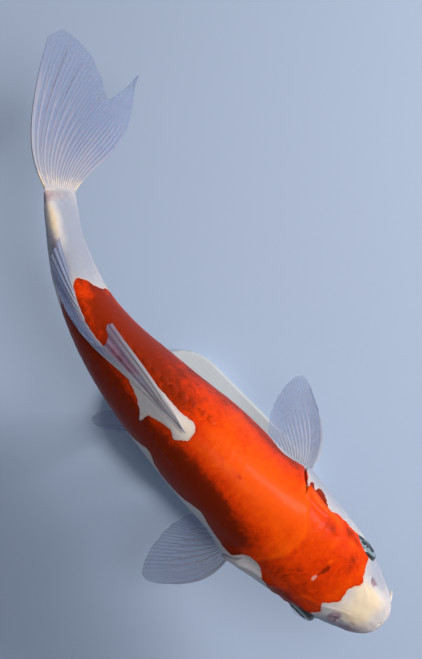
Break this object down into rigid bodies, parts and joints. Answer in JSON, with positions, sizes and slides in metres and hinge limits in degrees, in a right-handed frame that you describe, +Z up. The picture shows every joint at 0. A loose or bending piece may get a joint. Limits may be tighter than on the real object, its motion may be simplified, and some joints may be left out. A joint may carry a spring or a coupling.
{
  "type": "koi carp display model",
  "caption": "Life-size still model of a koi carp turning to its left as it swims, held over a flat display base by short rods.",
  "frame": {"origin": "centre of the whole model's box, on the surface that the base stands on", "axes": "+Z up, the head towards -Y, the fish's left side towards +X"},
  "size_m": [0.1474, 0.3899, 0.1643],
  "materials": {
    "skin": "wet, smooth scaleless fish skin, white with crisp orange-red patches",
    "fin": "thin translucent membrane over fine pale rays",
    "eye": "clear wet cornea over a dark pupil and a pale iris",
    "stand_paint": "pale grey satin paint on steel plate",
    "stand_steel": "fine drawn finish along the rods"
  },
  "bodies": {
    "root": {"head": "skin", "upper_lip": "skin", "lower_lip": "skin", "gill_cover_left": "skin", "gill_cover_right": "skin", "trunk_front": "skin", "trunk_middle": "skin", "trunk_rear": "skin", "tail_stem": "skin", "barbel_front_left": "skin", "barbel_front_right": "skin", "barbel_rear_left": "skin", "barbel_rear_right": "skin", "dorsal_fin": "fin", "pectoral_fin_left": "fin", "pectoral_fin_right": "fin", "pelvic_fin_left": "fin", "pelvic_fin_right": "fin", "anal_fin": "fin", "tail_fin_upper": "fin", "tail_fin_lower": "fin", "eye_left": "eye", "eye_right": "eye", "stand_base": "stand_paint", "stand_rod_front": "stand_steel", "stand_rod_rear": "stand_steel"}
  },
  "joints": []
}
